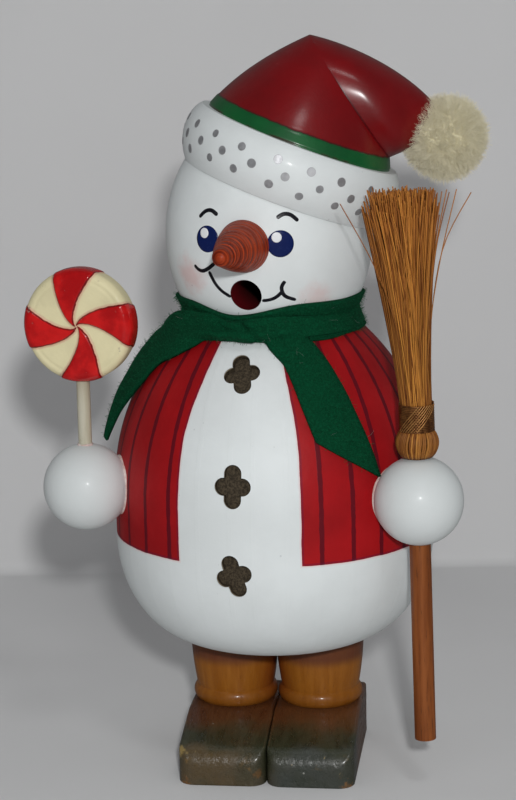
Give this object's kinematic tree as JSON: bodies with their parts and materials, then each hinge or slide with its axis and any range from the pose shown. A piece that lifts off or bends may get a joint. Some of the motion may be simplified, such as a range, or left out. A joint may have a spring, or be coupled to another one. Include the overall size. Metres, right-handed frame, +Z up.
{
  "type": "german incense smoker",
  "caption": "Turned wooden snowman incense smoker whose hollow figure lifts and turns on a plug on its legs, so that a cone burns on a tray inside and smokes out of the mouth.",
  "frame": {"origin": "on the floor under the figure's axis, on the glue line of the soles", "axes": "+Z up the turned figure's axis, the figure faces -Y, +X is the viewer's right"},
  "size_m": [0.1473, 0.1167, 0.2454],
  "materials": {
    "shoe_stain": "dark green-brown stain, glossy, worn pale at the corners",
    "leg_stain": "ochre stain with a satin varnish",
    "bare_wood": "bare beech",
    "nail_steel": "plain wire nail",
    "tray_brass": "pressed brass sheet",
    "body_paint": "white satin paint with a red striped waistcoat",
    "white_paint": "white satin paint",
    "nose_stain": "orange-brown stain",
    "hat_paint": "red gloss lacquer with a green band",
    "wool": "cream wool pile",
    "cream_paint": "cream paint with a red swirl",
    "broom_stain": "red-brown stain",
    "straw": "dry straw",
    "binding_wire": "dark bronze wire",
    "felt": "dark green felt"
  },
  "bodies": {
    "base": {"shoe_left": "shoe_stain", "shoe_right": "shoe_stain", "leg_left": "leg_stain", "leg_right": "leg_stain", "shoe_dowels": "bare_wood", "leg_dowels": "bare_wood", "plug": "bare_wood", "tray_nail": "nail_steel"},
    "tray": {"incense_tray": "tray_brass"},
    "figure": {"body": "body_paint", "head": "white_paint", "nose": "nose_stain", "hat_brim": "white_paint", "hat_crown": "hat_paint", "hat_tip": "hat_paint", "hat_dowel": "bare_wood", "tip_dowel": "bare_wood", "pompom": "wool", "hand_left": "white_paint", "hand_right": "white_paint", "hand_dowels": "bare_wood", "lollipop_stick": "cream_paint", "lollipop_disc": "cream_paint", "broom_stick": "broom_stain", "broom_bristles": "straw", "broom_binding": "binding_wire", "scarf": "felt"}
  },
  "joints": [
    {"name": "figure_turn", "type": "hinge", "parent": "base", "child": "tray", "pos_m": [0, 0, 0.055], "axis": [0, 0, 1], "continuous": true},
    {"name": "figure_lift", "type": "slide", "parent": "tray", "child": "figure", "axis": [0, 0, 1], "range_m": [0, 0.06]}
  ]
}
